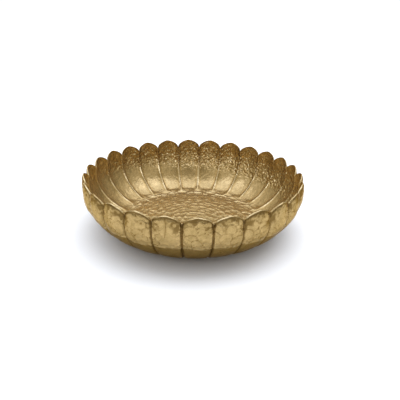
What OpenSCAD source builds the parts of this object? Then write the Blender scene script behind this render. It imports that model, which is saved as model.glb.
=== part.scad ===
// Hammered brass urli: a wide, shallow bowl for floating flowers, raised from one sheet of brass.
// Its wall is fluted into rounded petals, which make a scalloped rim, and its flat base stands on
// self-adhesive felt pads.
// Millimetres, +Z up. The origin is on the bowl's axis, at the surface that the bowl stands on.

/* [Bowl] */
// Diameter across the petals, level with the notches between them
bowl_d = 300; // [240:5:380]
// Height of the brass, from its flat base to the tips of the petals
bowl_h = 78; // [74:0.5:90]
// Diameter of the flat base
base_d = 176; // [150:2:190]
// Height of the wall's fullest part above the base, measured in the grooves
belly_h = 55; // [44:1:58]
// How square the turn from base to wall is: 2 is a quarter of an ellipse
turn_squareness = 1.8; // [1.6:0.05:2.2]
// Thickness of the brass sheet
sheet_t = 2; // [1.5:0.1:2.5]

/* [Petals] */
// Number of petals round the rim
petals = 26; // [18:2:34]
// How far the middle of a petal stands out from the grooves beside it
petal_bulge = 5; // [2:0.5:6]
// How far the rounded tips rise above the notches between them
tip_rise = 11.5; // [6:0.5:14]
// How far the wall curls in between its fullest part and the tips
tip_curl = 4; // [0:0.5:8]
// Height above the base where the wall begins to be fluted
flute_low = 24; // [10:1:35]
// Height above the base where the flutes reach their full depth
flute_high = 75; // [60:1:85]
// How unevenly the petals are spaced, from 0 for even spacing to 1 for a bowl set out by eye
unevenness = 1; // [0:0.1:1]

/* [Felt pads] */
// Number of pads under the base
pads = 4; // [3:1:6]
// Diameter of a pad
pad_d = 20; // [12:1:24]
// Thickness of a pad
pad_t = 2.5; // [1.5:0.5:4]
// Distance from the bowl's axis to the middle of a pad
pad_ring_r = 60; // [40:1:62]

/* [Smoothness] */
// Strips across one petal
strips = 8; // [4:2:8]
// Steps up the turn of the wall, from the base to its fullest part
turn_steps = 9; // [6:1:10]
// Steps from the fullest part of the wall to the rim
tip_steps = 3; // [2:1:3]

/* [Hidden] */

brass = [0.71, 0.57, 0.33];
felt = [0.27, 0.2, 0.15];
// How full the scallops of the rim are: 2 is half an ellipse, and less is more pointed
tip_roundness = 1.4;
base_r = base_d / 2;
notch_h = bowl_h - tip_rise;
columns = petals * strips;
rows = turn_steps + tip_steps + 1;

// Runs smoothly from 0 to 1 as x goes from low to high
function ease(x, low, high) =
    let (t = min(max((x - low) / (high - low), 0), 1))
    t * t * (3 - 2 * t);

// How far the middle of a petal stands out at a height above the base
function bulge(height) = petal_bulge * ease(height, flute_low, flute_high);

// How far the wall has curled in at a height above its fullest part
function curl(height) = tip_curl * pow((height - belly_h) / (bowl_h - belly_h), 2);

// Radius of the grooves at the wall's fullest part
groove_r = bowl_d / 2 - bulge(notch_h) + curl(notch_h);

// Where a column stands across its petal, from -1 at one groove towards 1 at the next. Columns are
// closest together beside the grooves, where the rim is steepest.
function across(column) = sin(90 * (2 * (column % strips) / strips - 1));

// Angle of a groove round the bowl's axis. It wanders slowly from even spacing, by up to about
// 1.4 degrees.
function groove_angle(groove) =
    let (
        even = groove * 360 / petals,
        wander = 0.4 * sin(even) - 0.5 * sin(2 * even) + 0.6 * sin(3 * even + 125)
    )
    even + unevenness * wander;

// Angle of a column round the bowl's axis
function azimuth(column) =
    let (
        groove = floor(column / strips),
        start = groove_angle(groove),
        end = groove_angle(groove + 1)
    )
    start + (end - start) * (1 + across(column)) / 2;

// Height of the scalloped rim above the base
function rim_h(s) = notch_h + tip_rise * sqrt(1 - pow(abs(s), tip_roundness));

// Radius and height of the turn from base to wall, at an angle from 0 at the base to 90
function turn_point(angle) = [
    base_r + (groove_r - base_r) * pow(sin(angle), 2 / turn_squareness),
    belly_h * (1 - pow(cos(angle), 2 / turn_squareness))
];

// Each row of the sheet follows the grooves: [radius, height, outward direction as its radial and
// upward parts]. Its first rows go round the turn, where the direction comes from two points half a
// degree to either side, and the others go up to the rim.
function turn_row(row) =
    let (
        near = 0.5,
        angle = min(max(90 * row / turn_steps, near), 90 - near),
        along = turn_point(angle + near) - turn_point(angle - near),
        outward = [along[1], -along[0]] / norm(along)
    )
    concat(turn_point(90 * row / turn_steps), outward);

function rim_row(row, s) =
    let (height = belly_h + (rim_h(s) - belly_h) * row / tip_steps)
    [groove_r - curl(height), height, 1, 0];

// A point of the sheet, at a depth below its outer face
function sheet_point(row, column, depth) =
    let (
        s = across(column),
        line = row <= turn_steps ? turn_row(row) : rim_row(row - turn_steps, s),
        out = bulge(line[1]) * (1 - s * s) - depth,
        r = line[0] + out * line[2],
        angle = azimuth(column)
    )
    [r * cos(angle), r * sin(angle), line[1] + out * line[3]];

// Place in the list of points. Side 0 is the outer face and side 1 the inner face.
function at(side, row, column) = (side * rows + row) * columns + column % columns;

// Two triangles that fill the gap between four points
function quad(a, b, c, d) = [[a, b, c], [a, c, d]];

// One closed sheet: two fluted faces, joined round the scalloped rim, each with a flat middle
module bowl_shell() {
    depths = [0, sheet_t];
    points = [
        for (depth = depths, row = [0 : rows - 1], column = [0 : columns - 1])
            sheet_point(row, column, depth),
        for (depth = depths) [0, 0, depth]
    ];
    outer_middle = 2 * rows * columns;
    inner_middle = outer_middle + 1;
    faces = [
        for (column = [0 : columns - 1], row = [0 : rows - 2])
            each quad(at(0, row, column), at(0, row + 1, column),
                      at(0, row + 1, column + 1), at(0, row, column + 1)),
        for (column = [0 : columns - 1], row = [0 : rows - 2])
            each quad(at(1, row, column + 1), at(1, row + 1, column + 1),
                      at(1, row + 1, column), at(1, row, column)),
        for (column = [0 : columns - 1])
            each quad(at(0, rows - 1, column), at(1, rows - 1, column),
                      at(1, rows - 1, column + 1), at(0, rows - 1, column + 1)),
        for (column = [0 : columns - 1])
            [outer_middle, at(0, 0, column), at(0, 0, column + 1)],
        for (column = [0 : columns - 1])
            [inner_middle, at(1, 0, column + 1), at(1, 0, column)]
    ];
    color(brass)
        translate([0, 0, pad_t])
            polyhedron(points, faces, convexity = 6);
}

// A round pad of the ring under the base
module felt_pad(number) {
    color(felt)
        rotate((number - 0.5) * 360 / pads)
            translate([pad_ring_r, 0, 0])
                cylinder(h = pad_t, d = pad_d, $fn = 64);
}

bowl_shell();
for (i = [1 : pads])
    felt_pad(i);
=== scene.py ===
"""A hammered brass urli with a scalloped rim, standing on felt discs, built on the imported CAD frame."""

import math

import bpy
import numpy as np
from mathutils import Matrix, Vector


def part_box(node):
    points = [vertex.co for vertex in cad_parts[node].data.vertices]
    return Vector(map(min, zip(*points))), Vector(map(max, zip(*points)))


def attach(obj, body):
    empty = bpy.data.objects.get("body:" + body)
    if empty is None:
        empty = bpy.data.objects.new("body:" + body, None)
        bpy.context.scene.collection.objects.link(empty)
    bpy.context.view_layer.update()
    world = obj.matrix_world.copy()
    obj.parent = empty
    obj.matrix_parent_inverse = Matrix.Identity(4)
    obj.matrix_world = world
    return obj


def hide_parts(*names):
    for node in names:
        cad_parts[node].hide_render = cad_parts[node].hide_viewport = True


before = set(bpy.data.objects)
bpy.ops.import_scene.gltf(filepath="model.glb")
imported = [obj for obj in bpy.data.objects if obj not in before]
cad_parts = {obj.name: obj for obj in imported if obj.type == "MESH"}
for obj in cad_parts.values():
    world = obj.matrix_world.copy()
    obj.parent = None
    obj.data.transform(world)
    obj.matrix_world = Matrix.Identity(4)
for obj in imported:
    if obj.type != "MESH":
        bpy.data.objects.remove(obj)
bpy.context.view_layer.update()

MM = 0.001
TURN = 2 * math.pi

# ---------------------------------------------------------------- sizes in mm, as in the CAD model
shell_low, shell_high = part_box("bowl_shell")
BASE_Z = shell_low.z / MM
BOWL_H = (shell_high.z - shell_low.z) / MM
BOWL_R = 150.0
BASE_R = 88.0
BELLY_H = 55.0
TURN_SQUARENESS = 1.8
SHEET = 2.0
PETALS = 26
PETAL_BULGE = 5.0
TIP_RISE = 11.5
TIP_CURL = 4.0
TIP_ROUNDNESS = 1.4
TIP_VARIETY = 0.06  # how much lower the lowest petal tip is, as a share of TIP_RISE
FLUTE_LOW = 24.0
FLUTE_HIGH = 75.0
NOTCH_H = BOWL_H - TIP_RISE
PADS = 4

# ---------------------------------------------------------------- fineness of the brass mesh
COLUMNS = 40  # across one petal
INNER_STEP = 1.0  # between rows of the inner face
OUTER_STEP = 1.2  # between rows of the outer face
FLOOR_STEP = 1.2  # between rows of the floor inside
UNDER_STEP = 3.2  # and underneath
LIP_ROWS = 5  # round the edge of the sheet
CLOSEST_COLUMNS = 0.55  # on the floor, where columns come closer than this share of a step, half end
OUTLINE_POINTS = 61  # along a petal's outline, to measure the distance from it
TURN_POINTS = 4001  # along the turn from base to wall, to measure its length

# ---------------------------------------------------------------- the finish of the sheet
LIP_RISE = 0.4  # how far the edge of the sheet is rounded
LIP_BEVEL = 0.6  # how much lower its outer side is
LIP_THINNING = 0.45  # how much thinner the sheet gets at its edge, and how far from it that begins
LIP_THINNING_W = 1.6
LIP_CLEAR = (0, 3)  # distances from the rim between which the dents grow to their full depth
DENT_LIMIT = 0.7  # deepest dent in either face of the wall, so that dents never meet in the sheet
SHEET_CURL = 2.8  # how far the tips curl in, from the fullest part of the wall upwards
SHOULDER = 0.35  # how far the edge leans in besides, where it was hammered over, and the height of
SHOULDER_H = 2.4  # that lean
SPOON_DEPTH = 1.2  # the rounded lower ends of the flutes: depth, distance from the axis along the
SPOON_START = 97.0  # sheet where they start in the middle of a flute, how much further out they
SPOON_ARCH = 9.0  # start beside its ridges, and the length over which they deepen
SPOON_LENGTH = 13.0

# Where the patterns begin and are complete, in distance from the bowl's axis along the sheet
FLOOR_FADE = (97, 106)  # the floor's dents end
RIDGE_FADE = (98, 112)  # the ridges between flutes begin, inside
RIDGE_WEAR_AND_HIGHLIGHT = (104, 116)  # and are painted bright there, as wear and as a painted highlight
GROOVE_FADE = (100, 120)  # the grooves begin, outside

FLOOR_DENT = 0.85  # depth of the floor's dents
RIDGE_LOW = 0.6  # height of the ridges between flutes at their lower ends, and how much higher they
RIDGE_GAIN = 0.5  # get on the way up
RIDGE_GAIN_H = (20, 60)
RIDGE_W = 1.1  # their width high up, and how much wider they are low down
RIDGE_FOOT_W = 0.4
RIDGE_FOOT_H = (8, 40)
VALLEY_W = (3.0, 1.9)  # outer and inner width of the valleys beside the ridges, painted dark as shade
BAND_H = (32, 50)  # heights where the sparkling band inside begins
BAND_LEAN = 12.0  # how much lower it begins on one side of the bowl, and at what angle round it
BAND_LEAN_AT = 0.6
FACET_REACH = 3.2  # radius of the band's facets and of its pings, and the depth of a ping
PING_REACH = 2.0
PING_DEPTH = 0.8
GROOVE_DEPTH = 1.6  # of the grooves between petals, outside
GROOVE_W = 1.15
PANEL_DENT = 0.9  # depth of the hammer's marks on the outside, and of the creases between them
CREASE_DEPTH = 0.3
FOOT_H = 36.0  # height where the hammered panels end above the smooth foot, and how far above and
FOOT_BLEND = 1.5  # below that line they blend into it
FOOT_STEP = 0.6  # how far the panels stand out there, and the heights between which that fades
FOOT_STEP_FADE = (42, 62)
FOLD_H = (46, 56)  # heights where the upright folds in some petals begin
FOLD_W = 0.6
FOLD_DEPTH = 0.4
SEAM_AT = 1.3  # distance of the seam from the rim, and its width and depth
SEAM_W = 0.65
SEAM_DEPTH = 0.6
PIT_REACH = 2.2  # radius and depth of the pits below the rim outside, and how far down they go
PIT_DEPTH = 0.7
PIT_BAND = 10.0
STAIN_DEPTH = 0.35  # depth of the stained patches there, and how far down they and the painted shade under the rim go
STAIN_AND_SHADE_BAND = 8.0

# ---------------------------------------------------------------- repeatable patterns
def scattered(i, j, seed):
    """A repeatable number from 0 to 1 for each pair of whole numbers. The factors only have to be
    large and unrelated."""
    n = np.sin(i * 127.1 + j * 311.7 + seed * 74.7) * 43758.5453
    return n - np.floor(n)


def ease(x, low, high):
    """Runs smoothly from 0 to 1 as x goes from low to high."""
    t = np.clip((x - low) / (high - low), 0, 1)
    return t * t * (3 - 2 * t)


def dome(away, reach):
    """A round mark: 1 in the middle, and 0 from its reach outwards."""
    return np.clip(1 - (away / reach) ** 2, 0, 1)


def line(away, width):
    """A soft line: 1 in the middle, and almost 0 at twice its width."""
    return np.exp(-((away / width) ** 2))


NOISE_R = 120  # radius at which the lumps of noise are as wide as they are high


def soft_noise(theta, rho, size, seed):
    """Smooth noise from -1 to 1 over the sheet, with lumps of about the given size."""
    count = max(3, round(TURN * NOISE_R / size))
    x, y = theta / TURN * count, rho / size
    i, j = np.floor(x), np.floor(y)
    u, v = ease(x - i, 0, 1), ease(y - j, 0, 1)
    i, k = i % count, (i + 1) % count
    low = scattered(i, j, seed) * (1 - u) + scattered(k, j, seed) * u
    high = scattered(i, j + 1, seed) * (1 - u) + scattered(k, j + 1, seed) * u
    return 2 * (low * (1 - v) + high * v) - 1


def noise(p, size, seed):
    """The same for a dictionary of points."""
    return soft_noise(p["theta"], p["rho"], size, seed)


FAR = 9.0  # further than any blow can be
CELL_R = 146  # radius at which the cells of small blows are as wide as they are high
CELL_STRAY = 0.9  # how far the middle of a blow strays inside its cell


def hammer_cells(p, size, seed):
    """The loose grid of cells that blows of one size leave on the wall: distance to the middle of
    the nearest blow, how much further the next one is, a number from 0 to 1 for the blow, and the
    height of a plane that tilts its own way through the middle of each blow."""
    count = round(TURN * CELL_R / size)
    x, y = p["theta"] / TURN * count, p["rho"] / size
    i0, j0 = np.floor(x), np.floor(y)
    near = np.full(x.shape, FAR)
    next_near = near.copy()
    blow = np.zeros(x.shape)
    tilt = np.zeros(x.shape)
    for di in (-1, 0, 1):
        for dj in (-1, 0, 1):
            i, j = i0 + di, j0 + dj
            key = i % count
            dx = i + 0.5 + CELL_STRAY * (scattered(key, j, seed) - 0.5) - x
            dy = j + 0.5 + CELL_STRAY * (scattered(key, j, seed + 1) - 0.5) - y
            away = np.hypot(dx, dy)
            closer = away < near
            lean = TURN * scattered(key, j, seed + 3)
            tilt = np.where(closer, dx * np.cos(lean) + dy * np.sin(lean), tilt)
            next_near = np.where(closer, near, np.minimum(next_near, away))
            blow = np.where(closer, scattered(key, j, seed + 2), blow)
            near = np.where(closer, away, near)
    return near * size, (next_near - near) * size, blow, tilt * size


BLOW_STRAY = (0.7, 0.5)  # how far a blow strays along and across its ring
BLOW_SIZES = (0.8, 1.2)  # times the size that is asked for
RING_MIX = 1.6  # blows of an inner ring lie on top, but above 1 some of the next ring's lie over them


def ring_blows(theta, rho, pitch, along, size, seed):
    """Overlapping oval dents in concentric rings, as on the floor: depth from 0 to 1 of the dent on
    top at each point, and how near the point is to that dent's edge."""
    squash = pitch / along
    top = np.full(theta.shape, -np.inf)
    depth = np.zeros(theta.shape)
    edge = np.full(theta.shape, FAR)
    ring0 = np.floor(rho / pitch)
    for dr in (-2, -1, 0, 1, 2):
        ring = ring0 + dr
        middle = (ring + 0.5) * pitch
        count = np.maximum(1, np.round(TURN * np.abs(middle) / along))
        start = scattered(ring, 0, seed)
        at = theta / TURN * count - start
        for dj in (-1, 0, 1, 2):
            j = np.floor(at) + dj
            key = j % count
            stray_along = BLOW_STRAY[0] * (scattered(ring, key, seed + 1) - 0.5)
            stray_across = BLOW_STRAY[1] * (scattered(ring, key, seed + 2) - 0.5)
            chance = scattered(ring, key, seed + 3)
            angle = (j + 0.5 + stray_along + start) / count * TURN
            far = middle + stray_across * pitch
            chord = 2 * np.sqrt(rho * np.abs(far)) * np.sin((theta - angle) / 2)
            away = np.hypot(rho - far, squash * chord)
            reach = size * (BLOW_SIZES[0] + (BLOW_SIZES[1] - BLOW_SIZES[0]) * chance)
            order = chance * RING_MIX - ring
            over = (away < reach) & (order > top) & (ring >= 0)
            depth = np.where(over, 1 - (away / reach) ** 2, depth)
            edge = np.where(over, reach - away, edge)
            top = np.where(over, order, top)
    return depth, edge


# ---------------------------------------------------------------- the sheet before it is hammered
def bulge(height):
    """How far the middle of a petal stands out at a height above the base."""
    return PETAL_BULGE * ease(height, FLUTE_LOW, FLUTE_HIGH)


def curl(height, depth):
    """How far a wall that curls in by a depth at its tips has done so at a height."""
    return depth * ((height - BELLY_H) / (BOWL_H - BELLY_H)) ** 2


GROOVE_R = BOWL_R - bulge(NOTCH_H) + curl(NOTCH_H, TIP_CURL)


def turn_point(angle):
    """Radius and height of the turn from base to wall, at an angle from 0 to a quarter turn."""
    power = 2 / TURN_SQUARENESS
    r = BASE_R + (GROOVE_R - BASE_R) * np.sin(angle) ** power
    return r, BELLY_H * (1 - np.cos(angle) ** power)


def turn_rows(step):
    """Evenly spaced rows round the turn: radius, height, outward direction and distance along the
    sheet from the bowl's axis."""
    angle = np.linspace(0, math.pi / 2, TURN_POINTS)
    r, z = turn_point(angle)
    run = np.r_[0, np.cumsum(np.hypot(np.diff(r), np.diff(z)))]
    out_r, out_z = np.gradient(z), -np.gradient(r)
    length = np.hypot(out_r, out_z)
    at = np.linspace(0, run[-1], round(run[-1] / step) + 1)
    columns = [np.interp(at, run, a) for a in (r, z, out_r / length, out_z / length)]
    return (*columns, BASE_R + at)


TURN_LENGTH = turn_rows(1)[4][-1] - BASE_R


def groove_angle(groove):
    """Angle of a groove round the bowl, which wanders slowly from even spacing."""
    even = groove * TURN / PETALS  # and the wander is in degrees, as in the CAD model
    wander = 0.4 * np.sin(even) - 0.5 * np.sin(2 * even) + 0.6 * np.sin(3 * even + math.radians(125))
    return even + np.radians(wander)


def petal_columns():
    """Angle round the bowl, place across the petal from -1 to 1, and number of the petal, for every
    column of the wall. Columns are closer together beside the grooves."""
    even = np.linspace(-1, 1, COLUMNS, endpoint=False)
    across = 0.5 * even + 0.5 * np.sin(even * math.pi / 2)
    petal = np.repeat(np.arange(PETALS), COLUMNS)
    s = np.tile(across, PETALS)
    start, end = groove_angle(petal), groove_angle(petal + 1)
    theta = start + (end - start) * (1 + s) / 2
    return theta, s, petal


def rim_height(s, petal):
    """Height above the base where the rounded edge of the sheet begins. Each petal is a little
    different."""
    rise = TIP_RISE * (1 - TIP_VARIETY * scattered(petal, 3, 8))
    return NOTCH_H - LIP_RISE + rise * np.sqrt(1 - np.abs(s) ** TIP_ROUNDNESS)


def wall_rings(step, drop):
    """Rings of points up the wall to a drop below the rim, without thickness: each is a dictionary
    of arrays."""
    theta, s, petal = petal_columns()
    one = np.ones(theta.shape)
    rings = []
    for r, z, out_r, out_z, rho in zip(*turn_rows(step)):
        rings.append(dict(theta=theta, s=s, petal=petal, r=r * one, z=z * one, out_r=out_r * one,
                          out_z=out_z * one, rho=rho * one))
    top = rim_height(s, petal) - drop
    count = round((BOWL_H - BELLY_H) / step)
    for k in range(1, count + 1):
        z = BELLY_H + (top - BELLY_H) * k / count
        rings.append(dict(theta=theta, s=s, petal=petal, r=GROOVE_R - curl(z, SHEET_CURL), z=z,
                          out_r=one, out_z=0 * one, rho=BASE_R + TURN_LENGTH + z - BELLY_H))
    return rings


def floor_rings(step):
    """Rings of points over the flat floor from near the middle to the turn, with half the columns
    from time to time on the way in."""
    theta, s, petal = petal_columns()
    rings = []
    count = round(BASE_R / step)
    for k in range(count - 1, 0, -1):
        r = BASE_R * k / count
        if len(theta) % 2 == 0 and TURN * r / len(theta) < step * CLOSEST_COLUMNS:
            theta, s, petal = theta[::2], s[::2], petal[::2]
        one = np.ones(theta.shape)
        rings.insert(0, dict(theta=theta, s=s, petal=petal, r=r * one, z=0 * one, out_r=0 * one,
                             out_z=-one, rho=r * one))
    return rings


# ---------------------------------------------------------------- what the hammer does to it
def flute_relief(p):
    """Outward shift of the fluted sheet, before hammering: rounded petals with rounded lower ends,
    that lean in a little beside the rim."""
    crown = 1 - p["s"] ** 2
    arch = np.sqrt(np.maximum(crown, 0))
    spoon_end = SPOON_START + SPOON_ARCH * (1 - arch)
    spoon = SPOON_DEPTH * ease(p["rho"], spoon_end, spoon_end + SPOON_LENGTH)
    spoon *= 1 - ease(p["z"], FLUTE_LOW, FLUTE_HIGH)
    ragged = 1 + 0.25 * noise(p, size=9, seed=91)
    lean = SHOULDER * ragged * np.clip(1 - p["edge"] / SHOULDER_H, 0, 1) ** 2
    return bulge(p["z"]) * crown + spoon * arch - lean


def groove_share(p, width, fade):
    """From 0 to 1, how much a point lies in the narrow groove between two petals."""
    away = (1 - np.abs(p["s"])) * math.pi * p["r"] / PETALS
    return line(away, width) * ease(p["rho"], *fade)


def shallow(groove, depth):
    """Depths of dents, brought smoothly under the limit, and fading out in a groove."""
    return DENT_LIMIT * np.tanh(depth / DENT_LIMIT) * (1 - groove)


def lip_wear_and_highlight(theta, edge):
    """How bright the sheet is painted beside the rim, from 0 to 1, as wear and as a painted highlight
    along the edge, more in some places round the bowl than in others."""
    return line(edge, 0.6) * np.clip(0.85 + soft_noise(theta, 0 * theta, size=13, seed=81), 0.3, 1)


def floor_dents(p):
    """The floor's ringed oval dents: how much each point belongs to the floor, how deep it lies in a
    dent, and how bright the edge of that dent is painted, as wear and as a painted highlight."""
    floor = 1 - ease(p["rho"], *FLOOR_FADE)
    depth, edge = ring_blows(p["theta"], p["rho"], pitch=7.5, along=14.0, size=4.8, seed=11)
    return floor, FLOOR_DENT * depth * floor, 0.8 * floor * line(edge, 0.8)


def flute_ridges(p):
    """The ridges between the flutes inside: how much each point belongs to a ridge, how far it stands
    in, how bright it is painted as wear and highlight, and how much it lies in the valley on either side,
    painted dark as shade."""
    z = p["z"]
    width = RIDGE_W + RIDGE_FOOT_W * (1 - ease(z, *RIDGE_FOOT_H))
    ridge = groove_share(p, width, RIDGE_FADE)
    height = (RIDGE_LOW + RIDGE_GAIN * ease(z, *RIDGE_GAIN_H)) * ridge
    # Painted highlight, with some wear: the ridges are painted brighter, most of all low down.
    wear_and_highlight = (0.5 + 0.35 * (1 - ease(z, 20, 45))) * ridge * ease(p["rho"], *RIDGE_WEAR_AND_HIGHLIGHT)
    outer_w, inner_w = VALLEY_W
    valley = groove_share(p, outer_w, RIDGE_FADE) - groove_share(p, inner_w, RIDGE_FADE)
    return ridge, height, wear_and_highlight, valley


def sparkling_band(p):
    """The band below the rim inside, which reaches lower on one side of the bowl, with tilted facets
    and small round pings: how rough each point is, its outward shift, and how bright it is painted, as
    wear on the facets' crests and as painted highlights in the pings."""
    theta, z = p["theta"], p["z"]
    worked = 0.75 + 0.3 * noise(p, size=70, seed=31) + 0.3 * np.cos(theta - 1.0)
    rough = ease(z + BAND_LEAN * np.cos(theta - BAND_LEAN_AT), *BAND_H) * np.clip(worked, 0.45, 1.1)
    near, gap, blow, tilt = hammer_cells(p, size=5.4, seed=41)
    shift = (0.1 + 0.2 * blow + 0.5 * tilt) * rough * dome(near, FACET_REACH)
    near, _, blow, _ = hammer_cells(p, size=4.2, seed=45)
    pings = ease(blow, 0.6, 0.75) * rough
    shift += PING_DEPTH * pings * dome(near, PING_REACH)
    crest = line(gap, 0.7) * (0.3 + 1.2 * ease(blow, 0.5, 0.9))
    # Painted highlight: the middles of the pings are painted bright as sparkles, the crests as wear.
    wear_and_highlight = 0.35 * rough * crest + 0.9 * pings * line(near, 1.2)
    return rough, shift, wear_and_highlight


def inner_face(p):
    """Outward shift of the inner face's points, how dark each is painted (or, below 0, how bright),
    and how strongly it is stippled. The factors say how dark or bright each pattern turns the brass,
    as wear, painted shade and painted highlights."""
    floor, floor_dent, floor_wear_and_highlight = floor_dents(p)
    ridge, ridge_height, ridge_wear_and_highlight, valley = flute_ridges(p)
    rough, marks, band_wear_and_highlight = sparkling_band(p)
    uneven = 0.24 * noise(p, size=16, seed=50) + 0.12 * noise(p, size=9, seed=51)
    uneven += 0.1 * noise(p, size=4.5, seed=52)
    marks += uneven * (1 - floor)
    shift = flute_relief(p) - ridge_height + floor_dent
    shift += shallow(ridge, marks * ease(p["edge"], *LIP_CLEAR))
    # Painted shade: the valleys beside the ridges and the sparkling band are painted darker; the floor a
    # little lighter.
    patina_wear_and_painted_light = 0.8 * valley - 0.2 - 0.1 * floor + 0.25 * rough
    # Wear and painted highlights: the rim, the edges of the floor's dents, the ridges and the pings are
    # painted bright.
    wear_and_highlight = 0.7 * lip_wear_and_highlight(p["theta"], p["edge"]) + floor_wear_and_highlight + ridge_wear_and_highlight + band_wear_and_highlight
    return shift, np.clip(patina_wear_and_painted_light - wear_and_highlight, -1, 1), rough


def hammered_panels(p):
    """The overlapping arcs of the hammer on the petals' outside, which end above the smooth foot in a
    ragged line: how much each point belongs to the panels, its height above that line, how deep its
    dent is, and how strong the crease at the dent's edge is."""
    stray = 0.01 * noise(p, size=10, seed=61)
    dent, arc = ring_blows(p["theta"] + stray, p["rho"], pitch=8.0, along=10.0, size=6.4, seed=71)
    above = p["z"] - (FOOT_H + 2.0 * noise(p, size=11, seed=62) + 1.5 * noise(p, size=4, seed=78))
    panel = ease(above, -FOOT_BLEND, FOOT_BLEND)
    strength = 0.45 + 0.8 * noise(p, size=12, seed=63) + 0.9 * line(above, 3.5)
    crease = line(arc, 0.7) * np.clip(strength, 0.05, 1.2) * panel
    uneven = 0.08 * noise(p, size=8, seed=64) + 0.04 * noise(p, size=4, seed=65)
    depth = (PANEL_DENT * dent - uneven) * panel + CREASE_DEPTH * crease
    return panel, above, depth, crease


def petal_folds(p):
    """The upright fold that some petals have outside, from 0 to 1."""
    across = math.pi * p["r"] / PETALS * p["s"]
    fold_at = 14 * (scattered(p["petal"], 5, 3) - 0.5) + 2.4 * noise(p, size=7, seed=68)
    chance = ease(scattered(p["petal"], 6, 3), 0.7, 0.8)
    return line(across - fold_at, FOLD_W) * ease(p["z"], *FOLD_H) * chance


def lip_seam(p):
    """The ragged line where the edge was hammered over, from 0 to 1: a shallow groove, also painted dark
    as shade.
    """
    ragged = np.clip(0.9 + 0.9 * noise(p, size=6, seed=66), 0.45, 1)
    wavering = SEAM_AT + 0.4 * noise(p, size=5, seed=67)
    return line(p["edge"] - wavering, SEAM_W) * ragged


def lip_pits(p):
    """The small pits crowded below the rim outside, from 0 to 1."""
    near, _, blow, _ = hammer_cells(p, size=4.2, seed=75)
    packed = line(p["edge"], PIT_BAND) * np.clip(0.5 + 1.4 * noise(p, size=13, seed=69), 0, 1)
    return packed * dome(near, PIT_REACH) * ease(blow, 0.2, 0.6) * (1 - p["s"] ** 6)


def lip_stains(p):
    """The dark sunken patches below the rim outside, from 0 to 1."""
    patches = noise(p, size=6, seed=76) + 0.8 * noise(p, size=2.8, seed=77)
    return ease(patches, 0.3, 0.42) * line(p["edge"], STAIN_AND_SHADE_BAND)


def outer_face(p):
    """The same three as for the inner face."""
    z, edge = p["z"], p["edge"]
    groove = groove_share(p, GROOVE_W, GROOVE_FADE)
    panel, above, depth, crease = hammered_panels(p)
    fold, seam, pit, stain = petal_folds(p), lip_seam(p), lip_pits(p), lip_stains(p)
    depth += FOLD_DEPTH * fold + PIT_DEPTH * pit + STAIN_DEPTH * stain
    shift = flute_relief(p) - GROOVE_DEPTH * groove
    shift += FOOT_STEP * panel * (1 - ease(z, *FOOT_STEP_FADE))
    shift -= shallow(groove, depth * ease(edge, *LIP_CLEAR) + SEAM_DEPTH * seam)
    shift -= LIP_THINNING * line(edge, LIP_THINNING_W)
    # Painted dark: the grooves and pits partly as patina, partly as painted shade; the creases, seam and
    # folds as painted shade; the stains are the sheet's own.
    patina_wear_and_painted_light = 0.2 + 0.8 * groove + 0.9 * crease + 2.0 * seam + 0.7 * fold + 1.2 * pit + 1.6 * stain
    # Painted shade on the smooth foot below the panels, for the shadowed floor it mirrors, and a painted
    # highlight along the panels' lower edge.
    patina_wear_and_painted_light += 0.5 * (1 - panel) * ease(z, 1, 8) - 0.4 * line(above - 1.5, 1.0)
    # Painted shade under the rim, and the rim itself painted bright as wear and as a painted highlight.
    patina_wear_and_painted_light += 0.25 * line(edge, STAIN_AND_SHADE_BAND) - lip_wear_and_highlight(p["theta"], edge)
    return shift, np.clip(patina_wear_and_painted_light, -1, 1), 0.1 * panel


def gathered(rings):
    """One dictionary of arrays for all the points of several rings."""
    return {key: np.concatenate([ring[key] for ring in rings]) for key in rings[0]}


def placed(p, out):
    """Points at a distance out from the groove line, in millimetres in the bowl's frame."""
    r = p["r"] + out * p["out_r"]
    z = p["z"] + out * p["out_z"] + BASE_Z
    return np.stack([r * np.cos(p["theta"]), r * np.sin(p["theta"]), z], axis=1)


def rim_distance(p):
    """Distance of each point of the wall from the outline of its petal, laid flat."""
    half_width = math.pi * GROOVE_R / PETALS
    outline = np.sin(np.linspace(-1, 1, OUTLINE_POINTS) * math.pi / 2)
    away = np.full(p["s"].shape, BOWL_H)
    for s in outline:
        height = rim_height(s, p["petal"])
        away = np.minimum(away, np.hypot((p["s"] - s) * half_width, p["z"] - height))
    return away


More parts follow.
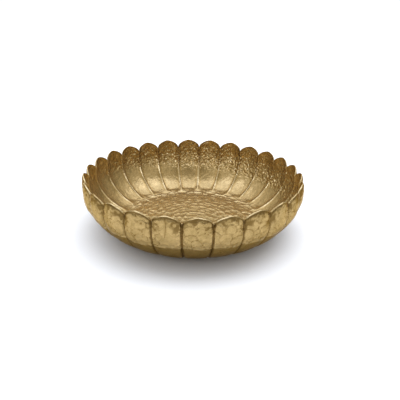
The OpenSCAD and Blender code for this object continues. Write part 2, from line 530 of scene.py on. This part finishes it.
# ---------------------------------------------------------------- mesh building
class Net:
    """Points in rings, and the faces between them."""

    def __init__(self):
        self.points = []
        self.patina_wear_and_painted_light = []
        self.rough = []
        self.faces = []
        self.count = 0

    def add(self, points, patina_wear_and_painted_light=0.0, rough=0.0):
        """Adds points, with how dark or bright each is painted and how rough each is, and gives their
        numbers.
        """
        self.points.append(points)
        self.patina_wear_and_painted_light.append(np.zeros(len(points)) + patina_wear_and_painted_light)
        self.rough.append(np.zeros(len(points)) + rough)
        self.count += len(points)
        return np.arange(self.count - len(points), self.count)

    def join(self, inside, outside, flip):
        """Faces between two neighbouring rings. The one nearer the middle may have half the points."""
        after, beyond = np.roll(inside, -1), np.roll(outside, -1)
        if len(inside) == len(outside):
            new = [np.stack([inside, outside, beyond, after], axis=1)]
        else:
            near, between, far = outside[::2], outside[1::2], np.roll(outside[::2], -1)
            new = [np.stack([inside, near, between], axis=1),
                   np.stack([inside, between, after], axis=1),
                   np.stack([after, between, far], axis=1)]
        for faces in new:
            self.faces += (faces[:, ::-1] if flip else faces).tolist()

    def fan(self, middle, ring, flip):
        """A fan of triangles from one middle point to a ring."""
        faces = np.stack([np.full(len(ring), middle), ring, np.roll(ring, -1)], axis=1)
        self.faces += (faces[:, ::-1] if flip else faces).tolist()

    def make(self, name, material):
        """The net as an object, with its painted darkness and brightness and its roughness stored on its
        points.
        """
        mesh = bpy.data.meshes.new(name)
        points = np.concatenate(self.points) * MM
        mesh.from_pydata(points.tolist(), [], self.faces)
        for label, values in (("patina_wear_and_painted_light", self.patina_wear_and_painted_light), ("rough", self.rough)):
            attribute = mesh.attributes.new(label, "FLOAT", "POINT")
            attribute.data.foreach_set("value", np.concatenate(values).astype(np.float32))
        mesh.polygons.foreach_set("use_smooth", [True] * len(mesh.polygons))
        mesh.materials.append(material)
        mesh.update()
        piece = bpy.data.objects.new(name, mesh)
        bpy.context.scene.collection.objects.link(piece)
        return piece


def add_face(net, steps, relief, depth, drop):
    """One face of the sheet, at a depth in from the outer one and up to a drop below the rim: the
    numbers of its top ring's points, and the points themselves."""
    floor_step, wall_step = steps
    rings = floor_rings(floor_step) + wall_rings(wall_step, drop)
    p = gathered(rings)
    p["edge"] = rim_distance(p)
    shift, patina_wear_and_painted_light, rough = relief(p)
    inward = depth > 0
    points = placed(p, shift - depth)
    sizes = [len(ring["theta"]) for ring in rings]
    numbers = np.split(net.add(points, patina_wear_and_painted_light, rough), np.cumsum(sizes)[:-1])
    for inside, outside in zip(numbers, numbers[1:]):
        net.join(inside, outside, flip=inward)
    middle = net.add(np.array([[0, 0, BASE_Z + depth]]))
    net.fan(middle[0], numbers[0], flip=inward)
    return numbers[-1], points[-sizes[-1]:]


def brass_bowl(material):
    """The whole hammered sheet: inner face, edge and outer face as one closed mesh."""
    net = Net()
    inner_top, inner_points = add_face(net, (FLOOR_STEP, INNER_STEP), inner_face, SHEET, 0.0)
    outer_top, outer_points = add_face(net, (UNDER_STEP, OUTER_STEP), outer_face, 0.0, LIP_BEVEL)
    middle = (inner_points + outer_points) / 2
    half = (outer_points - inner_points) / 2
    rise = np.array([[0, 0, LIP_RISE]])
    # The edge of the sheet is painted bright, as wear and as a painted highlight.
    wear_and_highlight = lip_wear_and_highlight(petal_columns()[0], 0.0)
    last = outer_top
    for k in range(1, LIP_ROWS + 1):
        angle = math.pi * k / (LIP_ROWS + 1)
        row = net.add(middle + half * math.cos(angle) + rise * math.sin(angle), -wear_and_highlight)
        net.join(last, row, flip=False)
        last = row
    net.join(last, inner_top, flip=False)
    return net.make("hammered_bowl", material)


FELT_COLUMNS = 96
FELT_ROWS = 9  # over each face, and round each edge
FELT_EDGE = 0.7  # radius of the pressed edges
FELT_FUZZ = 0.1  # how uneven the faces are, and the cut side, which reaches in by the width below
FELT_SIDE_FUZZ = 0.14
FELT_SIDE_W = 1.5


def felt_profile(radius, thick):
    """Radius and height of each ring of a disc, from the middle underneath to the middle on top."""
    flat = [radius * (k + 1) / (FELT_ROWS + 1) for k in range(FELT_ROWS)]
    turn = [math.pi / 2 * k / (FELT_ROWS - 1) for k in range(FELT_ROWS)]
    soft = radius - FELT_EDGE
    profile = [(r, 0.0) for r in flat]
    profile += [(soft + FELT_EDGE * math.sin(a), FELT_EDGE - FELT_EDGE * math.cos(a)) for a in turn]
    upper = thick - FELT_EDGE
    profile += [(soft + FELT_EDGE * math.cos(a), upper + FELT_EDGE * math.sin(a)) for a in turn]
    return profile + [(r, thick) for r in reversed(flat)]


def felt_disc(number, material):
    """One felt disc: pressed faces, a rounded cut edge and a slightly uneven surface."""
    low, high = (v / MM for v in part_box(f"felt_pad_{number}"))
    middle = (low + high) / 2
    radius, thick = (high.x - low.x) / 2, high.z - low.z
    net = Net()
    columns = np.arange(FELT_COLUMNS)
    theta = columns / FELT_COLUMNS * TURN
    last = None
    for row, (r, z) in enumerate(felt_profile(radius, thick)):
        fuzz = scattered(columns, row, number) - 0.5
        side = ease(r, radius - FELT_SIDE_W, radius)
        inward = 1 if z < thick / 2 else -1
        rr = r + FELT_SIDE_FUZZ * fuzz * side
        zz = np.clip(z + FELT_FUZZ * fuzz * (1 - side) * inward, 0, thick)
        points = np.stack([middle.x + rr * np.cos(theta), middle.y + rr * np.sin(theta), low.z + zz],
                          axis=1)
        ring = net.add(points)
        if last is None:
            net.fan(net.add(np.array([[middle.x, middle.y, low.z]]))[0], ring, False)
        else:
            net.join(last, ring, flip=False)
        last = ring
    net.fan(net.add(np.array([[middle.x, middle.y, high.z]]))[0], last, True)
    return net.make(f"felt_disc_{number}", material)


# ---------------------------------------------------------------- materials
class Nodes:
    """A short way to build a node material. Scales are in lumps per metre."""

    def __init__(self, name):
        self.material = bpy.data.materials.new(name)
        self.material.use_nodes = True
        self.tree = self.material.node_tree
        self.shader = self.tree.nodes["Principled BSDF"]
        self.place = self.add("ShaderNodeTexCoord").outputs["Object"]

    def add(self, kind, **values):
        """A new node, with values for its inputs, links to them, or settings."""
        node = self.tree.nodes.new(kind)
        for key, value in values.items():
            if key in node.inputs:
                self.set(node.inputs[key], value)
            else:
                setattr(node, key, value)
        return node

    def set(self, socket, value):
        if isinstance(value, bpy.types.NodeSocket):
            self.tree.links.new(value, socket)
        else:
            socket.default_value = value

    def noise(self, scale, detail=3.0, roughness=0.55):
        node = self.add("ShaderNodeTexNoise", Vector=self.place, Scale=scale, Detail=detail,
                        Roughness=roughness)
        return node.outputs["Fac"]

    def fit(self, value, low, high, to_low, to_high):
        """Maps low to high onto to_low to to_high, and holds still outside."""
        node = self.add("ShaderNodeMapRange")
        for key, number in (("Value", value), ("From Min", low), ("From Max", high),
                            ("To Min", to_low), ("To Max", to_high)):
            self.set(node.inputs[key], number)
        return node.outputs["Result"]

    def maths(self, operation, a, b=0.0):
        node = self.add("ShaderNodeMath", operation=operation)
        self.set(node.inputs[0], a)
        self.set(node.inputs[1], b)
        return node.outputs["Value"]

    def mix(self, share, a, b):
        node = self.add("ShaderNodeMix", data_type="RGBA")
        self.set(node.inputs["Factor"], share)
        self.set(node.inputs[6], a)
        self.set(node.inputs[7], b)
        return node.outputs[2]

    def bump(self, height, strength, distance, normal=None):
        node = self.add("ShaderNodeBump", Height=height, Strength=strength, Distance=distance)
        if normal is not None:
            self.set(node.inputs["Normal"], normal)
        return node.outputs["Normal"]


GOLD = (0.395, 0.276, 0.106, 1)  # the mottled sheet runs between these two
PALE_GOLD = (0.575, 0.408, 0.176, 1)
SHADE_AND_PATINA_BROWN = (0.16, 0.095, 0.025, 1)  # painted in hollows and creases: patina and painted shade
WEAR_AND_HIGHLIGHT_GOLD = (0.92, 0.77, 0.47, 1)  # painted on edges, ridges and pings: wear and painted highlights
GOLD_GLOSS = (0.85, 0.72, 0.5, 1)  # highlights on the sheet and in hollows
BROWN_GLOSS = (0.45, 0.3, 0.12, 1)


def brass_material():
    """Antique gold brass: satin, mottled, painted darker in hollows and creases as patina and painted
    shade, and bright on the edges that hands reach, ridges and pings as wear and painted highlights,
    with a fine planished grain and a stippled band below the rim."""
    n = Nodes("hammered_brass")
    patina_wear_and_painted_light = n.add("ShaderNodeAttribute", attribute_name="patina_wear_and_painted_light").outputs["Fac"]
    rough = n.add("ShaderNodeAttribute", attribute_name="rough").outputs["Fac"]
    # Painted shade and patina darken the brass to brown; wear and painted highlights brighten it to pale
    # gold.
    dark = n.fit(patina_wear_and_painted_light, 0.0, 1.0, 0.0, 0.9)
    wear_and_highlight = n.fit(patina_wear_and_painted_light, 0.0, -1.0, 0.0, 0.8)
    mottle = n.noise(150.0, 4.0, 0.7)
    gold = n.mix(n.fit(mottle, 0.35, 0.65, 0.0, 1.0), GOLD, PALE_GOLD)
    colour = n.mix(wear_and_highlight, n.mix(dark, gold, SHADE_AND_PATINA_BROWN), WEAR_AND_HIGHLIGHT_GOLD)
    n.set(n.shader.inputs["Base Color"], colour)
    n.shader.inputs["Metallic"].default_value = 0.82
    n.shader.inputs["Specular IOR Level"].default_value = 0.25
    n.set(n.shader.inputs["Specular Tint"], n.mix(dark, GOLD_GLOSS, BROWN_GLOSS))
    smudge = n.fit(n.noise(70.0, 3.0), 0.3, 0.7, 0.09, 0.17)
    polish = n.fit(patina_wear_and_painted_light, -1.0, 1.0, -0.08, 0.22)
    n.set(n.shader.inputs["Roughness"], n.maths("ADD", smudge, polish))
    grain = n.bump(n.noise(300.0, 4.0, 0.65), 0.5, 0.0008)
    pits = n.add("ShaderNodeTexVoronoi", Vector=n.place, Scale=330.0, feature="SMOOTH_F1")
    stipple = n.bump(pits.outputs["Distance"], n.fit(rough, 0.0, 1.0, 0.1, 0.8), 0.002, grain)
    n.set(n.shader.inputs["Normal"], stipple)
    return n.material


FELT_DARK = (0.035, 0.022, 0.014, 1)
FELT_BROWN = (0.13, 0.09, 0.06, 1)
FELT_PALE = (0.16, 0.12, 0.085, 1)


def felt_material():
    """Dense brown wool felt: matt, fuzzy, with pale and dark fibres pressed together."""
    n = Nodes("brown_felt")
    fibre = n.noise(1500.0, 6.0, 0.7)
    cloud = n.noise(180.0, 2.0)
    colour = n.mix(n.fit(fibre, 0.3, 0.7, 0.0, 1.0), FELT_DARK, FELT_BROWN)
    colour = n.mix(n.fit(cloud, 0.4, 0.7, 0.0, 0.35), colour, FELT_PALE)
    n.set(n.shader.inputs["Base Color"], colour)
    n.set(n.shader.inputs["Roughness"], n.fit(cloud, 0.3, 0.7, 0.85, 1.0))
    n.shader.inputs["Sheen Weight"].default_value = 0.4
    n.set(n.shader.inputs["Normal"], n.bump(fibre, 0.8, 0.0006))
    return n.material


# ---------------------------------------------------------------- camera, floor and light
NOTCH_CIRCLE = 146.2 * MM  # about the radius of the circle through the rim's notches
CAMERA_DISTANCE = 3.9115 * NOTCH_CIRCLE  # from the middle of that circle
CAMERA_ROUND = math.radians(-2.93)  # where the camera stands: turned round the bowl, and risen
CAMERA_RISE = math.radians(21.12)
CAMERA_YAW = math.radians(1.05)  # and where it looks
CAMERA_PITCH = math.radians(24.32)
CAMERA_ROLL = math.radians(1.40)
LENS = 37.07
SENSOR_W = 36.0

FLOOR_WIDE = 30.0  # metres from the middle of the floor to each side
FLOOR_COLOUR = (0.84, 0.86, 0.89, 1)
KEY_STRENGTH = 0.95
KEY_TOWARDS = (0.25, 0.15, 1.0)
KEY_SOFTNESS = math.radians(64)

LEFT_WALL = 0.7  # brightness of the room to the left, to the right, and along the skirting
RIGHT_WALL = 0.58
SKIRTING = 0.5
DARK_AHEAD = 0.55  # how much of it is left in the dark patch in front of the bowl
SOFT_BOX = 0.85  # lamps, each with its middle on a ceiling one unit up
SOFT_BOX_AT = (0.15, 0.25, 0)
SIDE_LAMPS = 1.1
SIDE_LAMPS_AT = (0.58, 0.06, 0)
FRONT_LAMP = 2.6
FILL = 1.9  # how much brighter the whole room is for light that the surfaces scatter
BACKDROP = 1.05  # brightness of the white that the camera sees behind the floor
WARM_TINT = (1.0, 0.88, 0.58, 1)  # of the dark and the bright parts of the room, in reflections
COOL_TINT = (0.95, 1.0, 1.18, 1)
FILL_TINT = (0.97, 0.98, 1.01, 1)


def add_camera():
    """The camera in front of the bowl and above it, turned slightly round it and rolled."""
    data = bpy.data.cameras.new("camera")
    data.lens = LENS
    data.sensor_width = SENSOR_W
    camera = bpy.data.objects.new("camera", data)
    bpy.context.scene.collection.objects.link(camera)
    forward = Vector((math.sin(CAMERA_YAW) * math.cos(CAMERA_PITCH),
                      math.cos(CAMERA_YAW) * math.cos(CAMERA_PITCH), -math.sin(CAMERA_PITCH)))
    right = Vector((math.cos(CAMERA_YAW), -math.sin(CAMERA_YAW), 0))
    up = right.cross(forward)
    c, s = math.cos(CAMERA_ROLL), math.sin(CAMERA_ROLL)
    rolled_right, rolled_up = c * right + s * up, c * up - s * right
    turn = Matrix((rolled_right, rolled_up, -forward)).transposed().to_4x4()
    away = Vector((0, -math.cos(CAMERA_RISE), math.sin(CAMERA_RISE))) * CAMERA_DISTANCE
    height = Vector((0, 0, (BASE_Z + NOTCH_H) * MM))
    camera.matrix_world = Matrix.Rotation(CAMERA_ROUND, 4, "Z") @ Matrix.Translation(away + height) @ turn
    bpy.context.scene.camera = camera


def add_floor():
    """A plain pale floor, far wider than any view."""
    mesh = bpy.data.meshes.new("floor")
    wide = FLOOR_WIDE
    mesh.from_pydata([(-wide, -wide, 0), (wide, -wide, 0), (wide, wide, 0), (-wide, wide, 0)], [],
                     [(0, 1, 2, 3)])
    n = Nodes("pale_floor")
    n.shader.inputs["Base Color"].default_value = FLOOR_COLOUR
    n.shader.inputs["Roughness"].default_value = 0.9
    n.shader.inputs["Specular IOR Level"].default_value = 0.1
    mesh.materials.append(n.material)
    floor = bpy.data.objects.new("floor", mesh)
    bpy.context.scene.collection.objects.link(floor)


def add_key_light():
    """A wide soft lamp overhead, a little behind and to the right, which lights the floor and casts
    the bowl's shadow. The brass mirrors the lamps of add_studio() instead."""
    data = bpy.data.lights.new("key_light", "SUN")
    data.energy = KEY_STRENGTH
    data.angle = KEY_SOFTNESS
    lamp = bpy.data.objects.new("key_light", data)
    bpy.context.scene.collection.objects.link(lamp)
    lamp.rotation_mode = "QUATERNION"
    lamp.rotation_quaternion = Vector(KEY_TOWARDS).to_track_quat("Z", "Y")
    lamp.visible_glossy = False


class Sky(Nodes):
    """The same short way, to build the light that comes from each direction: its parts to the right,
    to the back and up, and the place across and along where it meets a ceiling one unit up."""

    def __init__(self, name):
        self.world = bpy.data.worlds.new(name)
        bpy.context.scene.world = self.world
        self.world.use_nodes = True
        self.tree = self.world.node_tree
        self.shader = self.tree.nodes["Background"]
        place = self.add("ShaderNodeTexCoord").outputs["Generated"]
        parts = self.add("ShaderNodeSeparateXYZ", Vector=place)
        self.right = parts.outputs["X"]
        self.back = parts.outputs["Y"]
        self.height = parts.outputs["Z"]
        level = self.maths("MAXIMUM", self.height, 0.02)
        self.across = self.maths("DIVIDE", self.right, level)
        self.along = self.maths("DIVIDE", self.back, level)

    def times(self, a, b):
        return self.maths("MULTIPLY", a, b)

    def distance(self, across, along, middle):
        """Distance on the ceiling from a lamp's middle."""
        node = self.add("ShaderNodeVectorMath", operation="DISTANCE")
        self.set(node.inputs[0], self.add("ShaderNodeCombineXYZ", X=across, Y=along).outputs[0])
        node.inputs[1].default_value = middle
        return node.outputs["Value"]


def room_light(n):
    """A pale room, a little brighter to the left, with a dim skirting and a dark patch ahead."""
    side = n.fit(n.right, -0.3, 0.5, LEFT_WALL, RIGHT_WALL)
    skirting = n.fit(n.height, 0.36, 0.52, SKIRTING, 1.0)
    narrow = n.fit(n.maths("ABSOLUTE", n.right), 0.2, 0.35, 1.0, 0.0)
    ahead = n.times(narrow, n.fit(n.back, -0.4, -0.2, 1.0, 0.0))
    return n.times(n.times(side, skirting), n.fit(ahead, 0.0, 1.0, 1.0, DARK_AHEAD))


def overhead_lamps(n):
    """A large soft box overhead that ends just in front of the bowl, and a round lamp on each side."""
    glow = n.fit(n.distance(n.across, n.along, SOFT_BOX_AT), 0.3, 1.1, SOFT_BOX, 0.0)
    box = n.times(glow, n.fit(n.along, -0.2, -0.08, 0.0, 1.0))
    sideways = n.maths("ABSOLUTE", n.across)
    beside = n.fit(n.distance(sideways, n.along, SIDE_LAMPS_AT), 0.05, 0.35, SIDE_LAMPS, 0.0)
    return n.times(n.maths("ADD", box, beside), n.fit(n.height, 0.2, 0.3, 0.0, 1.0))


def front_lamp(n, mirrored):
    """A level strip of light in front, stronger to the left, which is seen only in reflections."""
    front = n.times(n.fit(n.back, -0.75, -0.45, FRONT_LAMP, 0.0), mirrored)
    front = n.times(front, n.fit(n.right, -0.3, 0.3, 1.0, 0.5))
    strip = n.times(n.fit(n.height, 0.33, 0.42, 0.0, 1.0), n.fit(n.height, 0.5, 0.6, 1.0, 0.0))
    return n.times(front, strip)


def add_studio():
    """The room and its lamps as they are mirrored, brighter and neutral for scattered light, with a
    white backdrop for the camera."""
    n = Sky("studio")
    path = n.add("ShaderNodeLightPath")
    scattered_ray = path.outputs["Is Diffuse Ray"]
    light = n.maths("ADD", room_light(n), overhead_lamps(n))
    light = n.maths("ADD", light, front_lamp(n, path.outputs["Is Glossy Ray"]))
    share = n.fit(scattered_ray, 0.0, 1.0, 1.0, FILL)
    tint = n.mix(n.fit(light, 0.2, 1.7, 0.0, 1.0), WARM_TINT, COOL_TINT)
    n.set(n.shader.inputs["Color"], n.mix(scattered_ray, tint, FILL_TINT))
    n.set(n.shader.inputs["Strength"], n.times(light, share))
    white = n.add("ShaderNodeBackground", Color=(1, 1, 1, 1), Strength=BACKDROP)
    choose = n.add("ShaderNodeMixShader")
    n.set(choose.inputs["Fac"], path.outputs["Is Camera Ray"])
    n.set(choose.inputs[1], n.shader.outputs[0])
    n.set(choose.inputs[2], white.outputs[0])
    n.set(n.tree.nodes["World Output"].inputs["Surface"], choose.outputs[0])


# ---------------------------------------------------------------- the scene
add_camera()
add_floor()
add_studio()
add_key_light()
bpy.context.scene.view_settings.view_transform = "Standard"

bowl = brass_bowl(brass_material())
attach(bowl, "root")
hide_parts("bowl_shell")

felt = felt_material()
for number in range(1, PADS + 1):
    disc = felt_disc(number, felt)
    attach(disc, "root")
    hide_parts(f"felt_pad_{number}")
